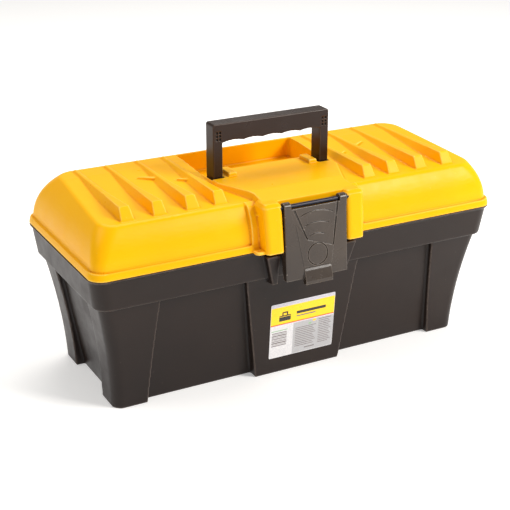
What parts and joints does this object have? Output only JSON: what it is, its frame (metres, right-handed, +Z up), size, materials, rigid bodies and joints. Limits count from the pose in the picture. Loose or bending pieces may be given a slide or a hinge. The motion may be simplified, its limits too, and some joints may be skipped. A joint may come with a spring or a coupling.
{
  "type": "toolbox with tray",
  "caption": "Moulded hand toolbox with a domed hinged lid, a fold-down carry handle, a front snap latch and a lift-out tray.",
  "frame": {"origin": "on the floor under the middle of the bin", "axes": "+X along the length to the right, front with the latch at -Y, +Z up"},
  "size_m": [0.4104, 0.2023, 0.2306],
  "materials": {
    "bin_plastic": "fine moulded texture, satin",
    "lid_plastic": "fine moulded texture, satin",
    "handle_plastic": "satin",
    "latch_plastic": "satin",
    "tray_plastic": "fine moulded texture, satin",
    "pin_steel": "blackened wire",
    "label_film": "printed film"
  },
  "bodies": {
    "bin": {"bin": "bin_plastic", "label": "label_film", "hinge_pin_left": "pin_steel", "hinge_pin_right": "pin_steel"},
    "lid": {"lid": "lid_plastic", "handle_pin_left": "pin_steel", "handle_pin_right": "pin_steel", "latch_pin": "pin_steel"},
    "carry_handle": {"carry_handle": "handle_plastic"},
    "front_latch": {"front_latch": "latch_plastic"},
    "tray": {"tray": "tray_plastic"}
  },
  "joints": [
    {"name": "lid_hinge", "type": "hinge", "parent": "bin", "child": "lid", "pos_m": [0, 0.0925, 0.1314], "axis": [-1, 0, 0], "range_deg": [0, 105]},
    {"name": "handle_hinge", "type": "hinge", "parent": "lid", "child": "carry_handle", "pos_m": [0, -0.009, 0.172], "axis": [-1, 0, 0], "range_deg": [0, 90]},
    {"name": "latch_hinge", "type": "hinge", "parent": "lid", "child": "front_latch", "pos_m": [0, -0.092, 0.1724], "axis": [-1, 0, 0], "range_deg": [0, 105]},
    {"name": "tray_lift", "type": "slide", "parent": "bin", "child": "tray", "axis": [0, 0, 1], "range_m": [0, 0.0925]}
  ],
  "couplings": [
    {"joint": "tray_lift", "follows": "lid_hinge", "m_per_rad": 0.05}
  ]
}
